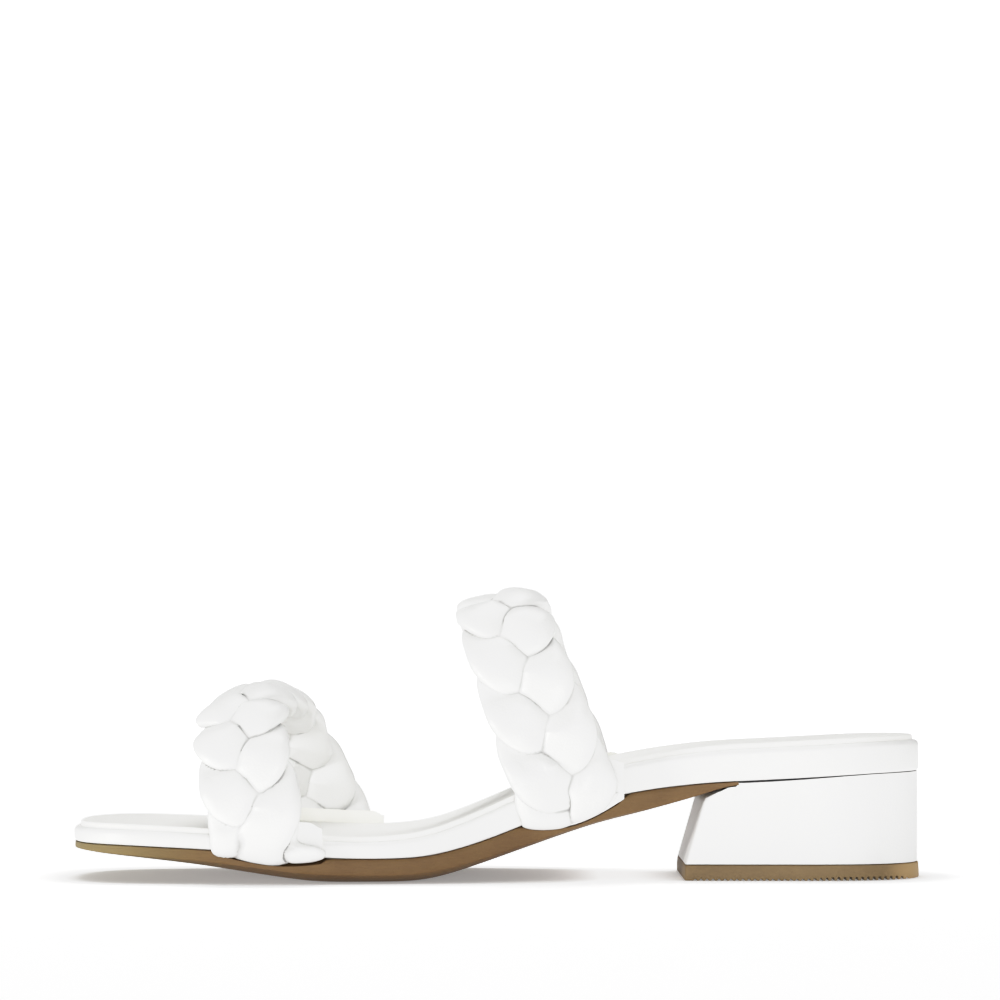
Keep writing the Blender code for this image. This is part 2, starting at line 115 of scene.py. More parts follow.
def cutAcross(shape, place, way, **more):
    # a flat cut through the whole shape
    whole = shape.verts[:] + shape.edges[:] + shape.faces[:]
    return bmesh.ops.bisect_plane(shape, geom=whole, plane_co=place, plane_no=way, **more)["geom_cut"]


def footbedOutline():
    # the footbed's side cut level with the joint line, read round at even steps and evened out
    shape = cadCopy("footbed")
    for vert in shape.verts:
        vert.co.z -= jointHeight(vert.co.y)
    cut = cutAcross(shape, (0, 0, last["outlineHeight"]), (0, 0, 1))
    cut = {e for e in cut if isinstance(e, bmesh.types.BMEdge)}
    vert = min((v for e in cut for v in e.verts), key=lambda v: v.co.y)
    edge = max((e for e in vert.link_edges if e in cut), key=lambda e: e.other_vert(vert).co.x)
    points = []
    while edge is not None:
        points.append(vert.co.xy)
        vert = edge.other_vert(vert)
        cut.discard(edge)
        edge = next((e for e in vert.link_edges if e in cut), None)
    points = np.array(points + points[:1])
    steps = np.linalg.norm(np.diff(points, axis=0), axis=1)
    along = np.concatenate(([0], np.cumsum(steps)))
    places = np.linspace(0, along[-1], last["outlinePoints"], endpoint=False)
    even = [bellAverage(np.interp(places, along, points[:, k]), last["outlineSoft"], True) for k in (0, 1)]
    return [Vector((x, y)) for x, y in zip(*even)]


outline = footbedOutline()      # from the toe's tip along the medial side to the heel and back


def edgeSides():
    # the outline's two halves, each from toe to heel
    heel = max(range(len(outline)), key=lambda i: outline[i].y)
    medial, lateral = outline[:heel + 1], (outline[heel:] + outline[:1])[::-1]
    return {side: (np.array([p.y for p in half]), np.array([p.x for p in half]))
            for side, half in ((1, medial), (-1, lateral))}


edgePoints = edgeSides()


def edgeX(y, side):
    ys, xs = edgePoints[side]
    return float(np.interp(y, ys, xs))


def rimAcross(side):
    return lambda y: edgeX(y, side) - side * last["rimIn"]


rimSides = [heightAlong("outsole", False, last["rimSpan"], rimAcross(side)) for side in (1, -1)]


def rimHeight(y):
    # lower edge of the outsole's upright side
    return min(jointHeight(y) - last["leastSide"], max(height(y) for height in rimSides))


def ease(value, start, stop):
    t = min(1.0, max(0.0, (value - start) / (stop - start)))
    return t * t * (3 - 2 * t)


print("outline of", len(outline), "points")


# Shader nodes

class Value:
    # a socket that can be written with in sums
    def __init__(self, finish, socket):
        self.finish, self.socket = finish, socket

    def sum(self, operation, *others):
        return self.finish.node("ShaderNodeMath", {"operation": operation}, *others)

    def __add__(self, other):
        return self.sum("ADD", self, other)

    def __sub__(self, other):
        return self.sum("SUBTRACT", self, other)

    def __rsub__(self, other):
        return self.sum("SUBTRACT", other, self)

    def __mul__(self, other):
        return self.sum("MULTIPLY", self, other)

    def __pow__(self, other):
        return self.sum("POWER", self, other)

    __radd__ = __add__
    __rmul__ = __mul__


class Finish:
    def __init__(self, name, **fixed):
        self.material = bpy.data.materials.new(name)
        self.material.use_nodes = True
        self.tree = self.material.node_tree
        self.shader = self.tree.nodes["Principled BSDF"]
        for socket, value in fixed.items():
            self.shader.inputs[socket.replace("_", " ")].default_value = value
        self.place = self.node("ShaderNodeTexCoord", {}, out="Object")

    def plug(self, socket, value):
        if isinstance(value, Value):
            self.tree.links.new(value.socket, socket)
        else:
            socket.default_value = value

    def node(self, kind, settings, *inputs, out=0, **named):
        made = self.tree.nodes.new(kind)
        for key, value in settings.items():
            if key == "stops":
                while len(made.color_ramp.elements) < len(value):
                    made.color_ramp.elements.new(0.5)
                for element, (at, shade) in zip(made.color_ramp.elements, value):
                    element.position, element.color = at, (shade, shade, shade, 1)
            else:
                setattr(made, key, value)
        for socket, value in list(enumerate(inputs)) + list(named.items()):
            self.plug(made.inputs[socket], value)
        return Value(self, made.outputs[out])

    def noise(self, scale, detail=3.0, place=None):
        # scale counts ripples to the metre
        return self.node("ShaderNodeTexNoise", {}, Vector=place or self.place, Scale=scale, Detail=detail)

    def stretched(self, x, y, z):
        return self.node("ShaderNodeMapping", {}, Vector=self.place, Scale=(x, y, z))

    def between(self, factor, one, other):
        made = self.tree.nodes.new("ShaderNodeMix")
        made.data_type = "RGBA"
        for socket, value in ((0, factor), (6, one), (7, other)):
            self.plug(made.inputs[socket], value)
        return Value(self, made.outputs[2])

    def ramp(self, value, *stops):
        return self.node("ShaderNodeValToRGB", {"stops": stops}, value)

    def attribute(self, name):
        return self.node("ShaderNodeAttribute", {"attribute_name": name}, out="Fac")

    def bump(self, height, distance, under=None, strength=1.0):
        named = {"Normal": under} if under is not None else {}
        return self.node("ShaderNodeBump", {}, Height=height, Distance=distance, Strength=strength, **named)

    def wear(self, **sockets):
        for socket, value in sockets.items():
            self.plug(self.shader.inputs[socket.replace("_", " ")], value)
        return self.material


coating = {
    # scales count ripples to the metre, depths are in metres
    "shine": 0.42,
    "cloudScale": 38,
    "cloudTone": 0.985,
    "patchScale": 110,
    "pebbleShare": 0.7,      # the rest of the grain is pores
    "grainDeep": 0.00006,
    "swellScale": 90,
    "swellDeep": 0.0005,
    "swellStrength": 0.6,
}


def leather(name, tone, grain, gloss, marked=None, shade=None, marks=(0.0, 1.0, 1.0)):
    # smooth coated leather: fine pebbles, wide faint clouds of tone, and its second tone where it is marked;
    # on the straps that tone is painted shade along the seams
    finish = Finish(name, Specular_IOR_Level=coating["shine"])
    clouds = finish.ramp(finish.noise(coating["cloudScale"], 2), (0.3, 0.0), (0.7, 1.0))
    colour = finish.between(clouds, (*tone, 1), tuple(coating["cloudTone"] * c for c in tone) + (1,))
    # the second tone, patchy by noise; on the straps it is painted shade along the seams
    if marked:
        begins, full, least = marks
        mark = finish.ramp(finish.attribute(marked), (begins, 0.0), (full, 1.0))
        patches = finish.ramp(finish.noise(coating["patchScale"], 1), (0.42, 0.0), (0.62, 1.0))
        colour = finish.between(mark * (least + (1 - least) * patches), colour, (*shade, 1))
    pebbles = finish.node("ShaderNodeTexVoronoi", {"feature": "SMOOTH_F1"}, Vector=finish.place,
                          Scale=1000 / grain, Randomness=1.0, Smoothness=0.6)
    pores = finish.noise(2600 / grain, 2)
    height = pebbles * coating["pebbleShare"] + pores * (1 - coating["pebbleShare"])
    swell = finish.bump(finish.noise(coating["swellScale"], 2), coating["swellDeep"],
                        strength=coating["swellStrength"])
    normal = finish.bump(height, coating["grainDeep"], swell)
    return finish.wear(Base_Color=colour, Roughness=gloss + 0.08 * clouds - 0.05 * pores, Normal=normal)


rubber = {
    "shine": 0.22,
    "patchScale": 55,
    "speckScale": 1500,
    "speckShare": 0.25,
    "dragShare": 0.3,
    "grainScale": 2200,
    "grainShare": 0.6,
    "grainDeep": 0.00012,
}


def soleRubber(name, light, dark, stretch, pale, fade):
    # moulded tan edge, with a fine drag along the side and small specks, paler towards one end
    finish = Finish(name, Specular_IOR_Level=rubber["shine"])
    drag = finish.noise(1.0, 4, finish.stretched(*stretch))
    patches = finish.noise(rubber["patchScale"], 3)
    speck = finish.ramp(finish.noise(rubber["speckScale"], 2), (0.60, 0.0), (0.72, 1.0))
    colour = finish.between(finish.ramp(patches, (0.32, 0.0), (0.68, 1.0)), (*light, 1), (*dark, 1))
    colour = finish.between(speck * rubber["speckShare"], colour, tuple(0.6 * c for c in dark) + (1,))
    colour = finish.between(finish.ramp(drag, (0.45, 0.0), (0.75, 1.0)) * rubber["dragShare"], colour,
                            tuple(1.25 * c for c in light) + (1,))
    along = finish.node("ShaderNodeSeparateXYZ", {}, finish.place, out="Y")
    end = finish.node("ShaderNodeMapRange", {"interpolation_type": "SMOOTHSTEP"}, along,
                      *(y * mm for y in fade))
    colour = finish.between(end, colour, (*pale, 1))
    grain = drag + rubber["grainShare"] * finish.noise(rubber["grainScale"], 2)
    normal = finish.bump(grain, rubber["grainDeep"])
    return finish.wear(Base_Color=colour, Roughness=0.52 + 0.16 * drag, Normal=normal)


finishes = {
    # leather: tone, grain in millimetres, roughness, and where, in what tone and how evenly it is marked
    # the strap's second tone is painted shade along the seams between its strands, patchy by noise
    "strap": leather("strapLeather", (0.80, 0.80, 0.785), 0.75, 0.40, "fold", (0.36, 0.355, 0.35),
                     (0.68, 0.98, 0.32)),
    "rand": leather("randLeather", (0.795, 0.795, 0.78), 0.65, 0.42),
    "lining": leather("liningLeather", (0.885, 0.88, 0.845), 0.55, 0.55),
    # the tab's second tone is its yellowish inner face, made paler than the outer face as painted light for
    # the shade it stands in
    "tab": leather("tabLeather", (0.80, 0.80, 0.785), 0.6, 0.46, "inner", (0.87, 0.865, 0.79)),
    "heel": leather("heelLeather", (0.795, 0.795, 0.785), 0.7, 0.40),
    # rubber: its two tones, ripples to the metre each way, and the paler tone that it fades to between two Y
    "outsole": soleRubber("outsoleRubber", (0.153, 0.087, 0.034), (0.118, 0.064, 0.025), (260, 260, 2600),
                          (0.20, 0.148, 0.060), (-74, -124)),
    "lift": soleRubber("liftRubber", (0.197, 0.131, 0.062), (0.156, 0.102, 0.048), (420, 420, 900),
                       (0.38, 0.245, 0.11), (112, 121)),
}
print(len(finishes), "finishes")


# Pieces

def inOrder(shape):
    # vertices and faces in an order that is the same on every run
    for number, vert in enumerate(sorted(shape.verts, key=lambda v: tuple(v.co))):
        vert.index = number
    shape.verts.sort()
    for number, face in enumerate(sorted(shape.faces, key=lambda f: sorted(v.index for v in f.verts))):
        face.index = number
    shape.faces.sort()


def finished(name, shape, finish, replaced, sharp=50):
    # edges sharper than so many degrees stay crisp, and 0 leaves the whole piece smooth
    bmesh.ops.recalc_face_normals(shape, faces=shape.faces)
    bmesh.ops.scale(shape, vec=(mm,) * 3, verts=shape.verts)
    inOrder(shape)
    mesh = bpy.data.meshes.new(name)
    shape.to_mesh(mesh)
    shape.free()
    mesh.shade_smooth()
    if sharp:
        mesh.set_sharp_from_angle(angle=math.radians(sharp))
    mesh.materials.append(finishes[finish])
    piece = bpy.data.objects.new(name, mesh)
    bpy.context.scene.collection.objects.link(piece)
    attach(piece, "root")
    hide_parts(replaced)
    print(name, len(mesh.polygons), "faces")
    return piece


def planFace(shape, inset):
    # one flat face with the footbed's outline, moved inwards
    face = shape.faces.new([shape.verts.new((p.x, p.y, 0)) for p in outline])
    face.normal_update()
    if inset:
        border = bmesh.ops.inset_individual(shape, faces=[face], thickness=inset, use_even_offset=True)
        bmesh.ops.delete(shape, geom=border["faces"], context="FACES")
    return face


def flatBoard(inset, height, lowerSteps, upperSteps):
    # a flat board; each step goes (inwards, away from the board's middle) round its lower or upper edge
    shape = bmesh.new()
    bottom = planFace(shape, inset)
    made = bmesh.ops.extrude_face_region(shape, geom=[bottom], use_keep_orig=True)
    top = next(g for g in made["geom"] if isinstance(g, bmesh.types.BMFace))
    bmesh.ops.translate(shape, vec=(0, 0, height), verts=top.verts)
    bmesh.ops.recalc_face_normals(shape, faces=shape.faces)
    for face, steps in ((bottom, lowerSteps), (top, upperSteps)):
        for inwards, away in steps:
            bmesh.ops.inset_region(shape, faces=[face], thickness=inwards, depth=away, use_even_offset=True)
    return shape


def sliced(shape, places, axis, snap=0.2):
    # cuts straight across, so that the flat faces can bend
    normal = Vector([float(k == axis) for k in range(3)])
    for place in places:
        cutAcross(shape, normal * place, normal, dist=snap)


def roundSteps(radius, count=4):
    # steps of a quarter round, from the upright side over to the flat
    turns = [math.pi / 2 * i / count for i in range(count + 1)]
    return [(radius * (math.cos(a) - math.cos(b)), radius * (math.sin(b) - math.sin(a)))
            for a, b in zip(turns, turns[1:])]


def bent(shape, heightOf):
    # from flat to the last's curve
    for vert in shape.verts:
        vert.co.z = heightOf(*vert.co)


footbed = {
    "underRound": 0.9,
    "wrapRound": 1.6,
    "crossCuts": np.arange(-123, 124, 3.0),
    "longCuts": (-24, -12, 0, 12, 24),
}


def makeFootbed():
    low, high = footbed["underRound"], footbed["wrapRound"]
    shape = flatBoard(0.0, 1.0, roundSteps(low), roundSteps(high, 6))
    sliced(shape, footbed["crossCuts"], 1)
    sliced(shape, footbed["longCuts"], 0)
    bent(shape, lambda x, y, z: jointHeight(y) + low + z if z < 0.5 else footbedTop(y) - high + z - 1.0)
    finished("footbedWrapped", shape, "rand", "footbed")


sockLining = {
    "inset": 1.9,
    "edgeRound": 0.7,
    "underEdge": (0.3, 0.2),
    "crossCuts": np.arange(-120, 121, 3.0),
    "longCuts": np.arange(-36, 37, 4.0),
    "sink": 0.5,             # it is pressed this far down into the wrapped board
    "dish": 0.5,             # and worn hollow by as much in the middle of ball and heel
    "dishes": ((-62, 34), (92, 22)),    # middle and reach of each hollow
}


def dishDepth(x, y):
    # how far the lining is worn down there
    half = (edgeX(y, 1) - edgeX(y, -1)) / 2
    across = (x - (edgeX(y, 1) + edgeX(y, -1)) / 2) / max(half, 1.0)
    place = sum(math.exp(-((y - middle) / reach) ** 2) for middle, reach in sockLining["dishes"])
    return sockLining["dish"] * place * max(0.0, 1 - across * across) ** 2


def makeSockLining():
    size = sockLining
    shape = flatBoard(size["inset"], 1.0, [size["underEdge"]], roundSteps(size["edgeRound"], 5))
    sliced(shape, size["crossCuts"], 1)
    sliced(shape, size["longCuts"], 0)
    rest = size["edgeRound"] + 1.0

    def heightOf(x, y, z):
        if z < 0.5:
            return footbedTop(y) - size["sink"] + z
        return liningTop(y) - rest + z - dishDepth(x, y)

    bent(shape, heightOf)
    finished("sockLining", shape, "lining", "sock_lining")


makeFootbed()
makeSockLining()


# Plaited straps

straps = {
    # Y is where a leg stands on the footbed's edge, lean is back in degrees, and the crown is the strap's
    # highest place; droop lets its two edges down there; the feet give strand: (aside, raised, wider, fanned)
    "front": dict(node="front_strap", medialY=-66.3, lateralY=-51.2, lean=14.5, crownZ=53.8, crownX=5.0,
                  medialPower=2.5, lateralPower=2.2, flare=0.8, bow=3.4, pitch=49.2, phase=0.234,
                  swing=8.0, width=14.4, thick=5.4, droop=(5.6, 8.2), tabShift=1.8, tabHalf=15.0, tabDrop=3.0,
                  tabRise=10.0, bandLow=1.4, feet={0: (-4.5, -2.0, 0.9, 8.0), 1: (-2.0, -2.3, 1.0, 0.0),
                        2: (1.6, 2.6, 1.6, 0.0)}),
    "rear": dict(node="rear_strap", medialY=21.6, lateralY=23.2, lean=20.0, crownZ=80.5, crownX=4.0,
                 medialPower=2.4, lateralPower=2.2, flare=2.5, bow=0.0, pitch=54.0, phase=0.083,
                 swing=8.3, width=15.4, thick=5.6, droop=(-1.4, 6.2), tabShift=0.9, tabHalf=14.6, tabDrop=5.2,
                 tabRise=11.0, bandLow=None, feet={}),
}
strand = {
    "linger": 0.12,        # a strand stays longer at the strap's edge than a plain wave would
    "rise": 1.7,           # up and down, as it passes over and under
    "roundPower": 3.0,     # section: 2 is an ellipse, more is a flatter pad
    "sides": 48,
    "step": 0.7,           # from one ring of the strand to the next
    "crossHalf": 20,       # the ends are worked out this far to each side of the plait's middle
    "seat": 4.8,           # middle of the plait outside the footbed's edge
    "crownNarrow": 0.07,   # the plait is drawn this much narrower over the foot
    "droopHalf": 14.0,     # where the droop is measured, from the plait's middle
    "tail": 14.0,          # the plait's middle surface carries on this far below the footbed's edge
    "pressed": 0.5,        # thickness where the plait is pressed at its ends
    "pressLength": 9.0,
    "levelLength": 14.0,   # the last stretch lines up with the footbed's edge
    "hug": (12.0, 40.0),   # a leg follows the footbed's curve up to here, and lets go of it by here
    "tuckRound": 2.0,      # radius with which the ends turn in under the footbed
    "tuckAbove": 2.0,
    "tuckReach": 5.0,
    "pullIn": 1.6,         # the ends come this much nearer to the footbed's edge
    "pullHigh": 11.0,
    "footLong": 10.0,      # the medial feet keep their own order up to here
    "fanLong": 3.0,
    "paintedShadeReach": 1.2,      # shade is painted into the coating this near to a seam
    "grooveReach": 1.8,    # and the pads sink towards it
    "groove": 0.35,
    "creaseWide": 0.8,     # half the width of a crease
    "ridge": (0.45, 2.2, 1.3),      # beside a crease: its height, place and width as shares of the crease's
}
creases = {
    # strand, place along it, place across it, half length, depth, slant in degrees
    "front": ((0, 1.5, 2.0, 3.0, 0.30, 25), (0, 24.0, -2.5, 2.6, 0.28, -30), (0, 45.5, 3.0, 3.4, 0.35, 20),
              (1, 8.5, 1.0, 3.2, 0.30, -20), (1, 30.0, -2.0, 2.8, 0.32, 35), (1, 56.0, 2.5, 3.0, 0.30, -25),
              (2, 12.0, 1.5, 3.6, 0.40, 30), (2, 17.5, -3.0, 2.4, 0.25, 10), (2, 40.0, 2.2, 3.0, 0.30, -28),
              (2, 62.0, -1.5, 3.0, 0.30, 24), (0, 72.0, 1.5, 3.2, 0.35, -24), (1, 81.0, -1.6, 3.2, 0.32, 28),
              (2, 88.0, 2.0, 3.0, 0.30, -30), (0, 97.0, 1.0, 3.2, 0.35, 22), (1, 105.0, 2.4, 3.0, 0.30, -26)),
    "rear": ((0, 7.0, -2.0, 3.2, 0.35, 28), (0, 31.5, 1.5, 3.6, 0.32, -30), (0, 58.5, 2.4, 3.0, 0.30, 22),
             (1, 13.5, 2.2, 3.4, 0.38, -35), (1, 17.0, -2.4, 2.6, 0.25, -12), (1, 41.0, 1.2, 3.4, 0.33, 30),
             (1, 67.0, -2.0, 3.0, 0.30, -22), (2, 1.5, 0.5, 3.0, 0.28, -20), (2, 25.5, 2.6, 3.2, 0.36, 32),
             (2, 50.0, -1.8, 3.2, 0.30, -26), (2, 76.0, 1.6, 3.0, 0.30, 25), (0, 88.0, 2.0, 3.2, 0.34, -28),
             (1, 97.0, -1.5, 3.0, 0.32, 26), (2, 106.0, 2.2, 3.2, 0.30, -24), (0, 115.0, 1.2, 3.0, 0.32, 24)),
}


class Arch:
    # middle surface of a strap: s runs from the medial end over the foot, v across the strap
    samples = 240
    finest = 0.25       # step of the table that it is read from
    tabEnd = 1.3        # the strap's end hangs at least this far below the joint line

    def __init__(self, size):
        self.size = size
        ends = {}
        for side, y in ((1, size["medialY"]), (-1, size["lateralY"])):
            ends[side] = Vector((edgeX(y, side) + side * strand["seat"], y, jointHeight(y)))
        lean = math.radians(size["lean"])
        across = ends[1] - ends[-1]
        across.z = 0
        across.normalize()
        back = Vector((-across.y, across.x, 0))
        up = math.cos(lean) * Vector((0, 0, 1)) - math.sin(lean) * back
        self.wide = math.cos(lean) * back + math.sin(lean) * Vector((0, 0, 1))
        self.springs = {side: end.y for side, end in ends.items()}
        whole = (ends[1] - ends[-1]).length
        share = (ends[1].x - size["crownX"]) / (ends[1].x - ends[-1].x)
        foot = ends[1].lerp(ends[-1], share)
        height = (size["crownZ"] - foot.z) / math.cos(lean)
        points = [ends[1] - up * strand["tail"]]
        for i in range(self.samples + 1):
            turn = math.pi * i / self.samples
            medialHalf = turn < math.pi / 2
            power = size["medialPower"] if medialHalf else size["lateralPower"]
            reach = whole * (share if medialHalf else 1 - share)
            cosine, sine = math.cos(turn), math.sin(turn)
            sway = math.copysign(abs(cosine) ** (2 / power), cosine) * reach
            sway += size["flare"] * math.sin(2 * turn)
            base = foot + across * sway
            base.z = foot.z + (ends[1].z - ends[-1].z) * sway / whole
            if not medialHalf:
                base -= back * size["bow"] * math.sin(2 * turn) ** 2
            points.append(base + up * height * max(sine, 0.0) ** (2 / power))
        points.append(ends[-1] - up * strand["tail"])
        points = np.array(points)
        steps = np.linalg.norm(np.diff(points, axis=0), axis=1)
        lengths = np.concatenate(([0], np.cumsum(steps))) - strand["tail"]
        self.length = lengths[-1] - strand["tail"]
        places = np.arange(-strand["tail"], self.length + strand["tail"], self.finest)
        self.table = [Vector(p) for p in zip(*(np.interp(places, lengths, points[:, k]) for k in range(3)))]

    def middle(self, s):
        place = min(max((s + strand["tail"]) / self.finest, 0.0), len(self.table) - 1.001)
        return self.table[int(place)].lerp(self.table[int(place) + 1], place % 1.0)

    def side(self, s):
        return 1 if s < self.length / 2 else -1

    def at(self, s, v):
        centre = self.middle(s)
        side = self.side(s)
        crown = math.sin(math.pi * min(max(s / self.length, 0.0), 1.0)) ** 3
        point = centre + self.wide * v * (1 - strand["crownNarrow"] * crown)
        point.z -= crown * self.size["droop"][v > 0] * (v / strand["droopHalf"]) ** 2
        hold = 1 - ease(centre.z - jointHeight(centre.y), *strand["hug"])
        if hold > 0:
            hugging = centre.x + edgeX(point.y, side) - edgeX(self.springs[side], side)
            point.x += hold * (hugging - point.x)
        return point

    def outwards(self, s, v):
        along = self.at(s + 0.5, v) - self.at(s - 0.5, v)
        across = self.at(s, v + 0.5) - self.at(s, v - 0.5)
        return across.cross(along).normalized()

    def tabDepth(self, y, side, beyond=0.0):
        # how far the strap's end hangs below the joint line at y
        size = self.size
        middle = (size["medialY"] if side > 0 else size["lateralY"]) + size["tabShift"]
        t = abs(y - middle) / size["tabHalf"]
        if t > 1:
            return beyond
        return self.tabEnd + (size["tabDrop"] - self.tabEnd) * math.cos(t * math.pi / 2)

    def turnHeight(self, y, side):
        # over the joint line, where the strap's end starts to turn in
        return strand["tuckRound"] + strand["tuckAbove"] - self.tabDepth(y, side, self.tabEnd)

    def bend(self, s, v, h):
        # from the flat plait to its place over the foot, with the ends turned in under the footbed
        side = self.side(s)
        centre, normal = self.at(s, v), self.outwards(s, v)
        rise = centre.z - jointHeight(centre.y)
        centre = centre - Vector((side * strand["pullIn"] * (1 - ease(rise, 0.0, strand["pullHigh"])), 0, 0))
        radius = strand["tuckRound"]
        turnAt = self.turnHeight(centre.y, side)
        past = turnAt - rise
        if past <= 0:
            return centre + normal * h
        angle = min(past / radius, math.pi / 2)
        inwards = max(0.0, past - radius * math.pi / 2)
        down = Vector((0, 0, -1))
        centre = Vector((centre.x, centre.y, jointHeight(centre.y) + turnAt))
        centre += down * radius * math.sin(angle) - normal * (radius * (1 - math.cos(angle)) + inwards)
        return centre + (normal * math.cos(angle) + down * math.sin(angle)) * h

    def endOf(self, v, side):
        # the s at which the line v has turned in under the footbed
        s = 0.0 if side > 0 else self.length
        while True:
            point = self.at(s, v)
            low = point.z < jointHeight(point.y) + self.turnHeight(point.y, side) - strand["tuckReach"]
            if low or abs(s - (0 if side > 0 else self.length)) > strand["tail"] - 1:
                return s
            s -= 0.5 * side


arches = {name: Arch(size) for name, size in straps.items()}


def strandCourse(size, s, k):
    # a strand's sideways place, height, slope and width: over from middle to edge, and under on its way back
    turn = 2 * math.pi * (s / size["pitch"] + k / 3 + size["phase"])
    linger = strand["linger"]
    place = size["swing"] * (math.sin(turn) + linger * math.sin(3 * turn))
    slope = size["swing"] * 2 * math.pi / size["pitch"] * (math.cos(turn) + 3 * linger * math.cos(3 * turn))
    near = 1 - ease(s, 0.0, strand["footLong"])
    aside, raised, wider, fan = size["feet"].get(k, (0.0, 0.0, 1.0, 0.0))
    place += aside * near + fan * (1 - ease(s, -strand["fanLong"], strand["fanLong"]))
    return place, strand["rise"] * math.sin(2 * turn) + raised * near, slope, 1 + (wider - 1) * near


def creaseDepth(name, k, s, across):
    # soft troughs laid one by one, each with a low ridge beside it
    depth = 0.0
    high, beside, wide = strand["ridge"]
    for number, along, aside, reach, deep, slant in creases[name]:
        if number == k and abs(s - along) < 3 * reach:
            turn = math.radians(slant)
            u = (s - along) * math.cos(turn) + (across - aside) * math.sin(turn)
            w = ((across - aside) * math.cos(turn) - (s - along) * math.sin(turn)) / strand["creaseWide"]
            fade = math.exp(-(u / reach) ** 2)
            depth += deep * fade * (math.exp(-w * w) - high * math.exp(-((w - beside) / wide) ** 2))
    return depth


def strandShape(name, k):
    size, arch = straps[name], arches[name]
    shape = bmesh.new()
    angleOf = shape.verts.layers.float.new("angle")
    ring = bmesh.ops.create_circle(shape, segments=strand["sides"], radius=1.0, cap_ends=True)["verts"]
    for vert in ring:
        vert[angleOf] = math.atan2(vert.co.y, vert.co.x)
    edges = shape.edges[:]
    lines = range(-strand["crossHalf"], strand["crossHalf"] + 1)
    limits = {side: [arch.endOf(v, side) for v in lines] for side in (1, -1)}

    def endAt(v, side):
        return float(np.interp(v, lines, limits[side]))

    def courseEnd(side):
        # where the strand itself ends, closer at each try
        s = 0.0 if side > 0 else arch.length
        for _ in range(6):
            s = endAt(strandCourse(size, s, k)[0], side)
        return s

    first, final = courseEnd(1), courseEnd(-1)
    count = round((final - first) / strand["step"])
    half, thick, power = size["width"] / 2, size["thick"] / 2, 2 / strand["roundPower"]
    for i in range(count + 1):
        s = first + (final - first) * i / count
        v, height, slope, wider = strandCourse(size, s, k)
        long = math.hypot(1, slope)
        nearest = min(s - first, final - s)
        full = ease(nearest, 0.0, strand["pressLength"])
        scale = strand["pressed"] + (1 - strand["pressed"]) * full
        level = 1 - ease(nearest, 0.0, strand["levelLength"])
        side = arch.side(s)
        if i:
            made = bmesh.ops.extrude_edge_only(shape, edges=edges)["geom"]
            ring = [g for g in made if isinstance(g, bmesh.types.BMVert)]
            edges = [g for g in made if isinstance(g, bmesh.types.BMEdge) and all(q in ring for q in g.verts)]
        for vert in ring:
            angle = vert[angleOf]
            cosine, sine = math.cos(angle), math.sin(angle)
            across = half * wider * math.copysign(abs(cosine) ** power, cosine)
            up = thick * math.copysign(abs(sine) ** power, sine)
            if sine > 0:
                up -= creaseDepth(name, k, s, across) * sine
            vHere = v + across / long
            shift = endAt(vHere, side) - endAt(v, side)
            sHere = s - across * slope / long * (1 - level) + shift * level
            vert.co = arch.bend(sHere, vHere, (height + up) * scale)
    bmesh.ops.contextual_create(shape, geom=edges)
    shape.verts.layers.float.remove(shape.verts.layers.float["angle"])
    bmesh.ops.recalc_face_normals(shape, faces=shape.faces)
    inOrder(shape)
    return shape


def grooveAndPaintSeamShade(shape, others):
    # near another strand the pad sinks into a soft groove, and shade is painted into its coating there
    seamShadeOf = shape.verts.layers.float.new("fold")
    shape.normal_update()
    reach = strand["grooveReach"]
    for vert in shape.verts:
        gap = reach
        for tree in others:
            spot, normal, _, away = tree.find_nearest(vert.co, reach)
            if spot is not None:
                gap = min(gap, away if (vert.co - spot).dot(normal) > 0 else 0.0)
        vert[seamShadeOf] = 1 - min(1.0, gap / strand["paintedShadeReach"])
        vert.co -= vert.normal * strand["groove"] * (1 - gap / reach) ** 2


def makePlait(name):
    shapes = [strandShape(name, k) for k in range(3)]
    trees = [BVHTree.FromBMesh(shape) for shape in shapes]
    for k, shape in enumerate(shapes):
        grooveAndPaintSeamShade(shape, trees[:k] + trees[k + 1:])
        piece = finished(name + "Strand" + "ABC"[k], shape, "strap", straps[name]["node"], 0)


for strapName in straps:
    makePlait(strapName)


# Inner bands at the feet of the straps

band = {
    "thick": 1.2,
    "out": 0.4,            # clear of the footbed's side
    "splay": 0.8,          # and further out at the top
    "short": 0.6,          # shorter at each end than the strap's own tab
    "cornerDrop": 1.5,
    "cornerFrom": 0.75,
    "over": 0.4,           # its lower edge stays this far over the strap's end
    "inside": (0.6, 1.2),  # the paler, yellowish inner face, as distances from the footbed's edge; it is made paler as painted light for the shade it stands in
    "steps": (24, 8),
}


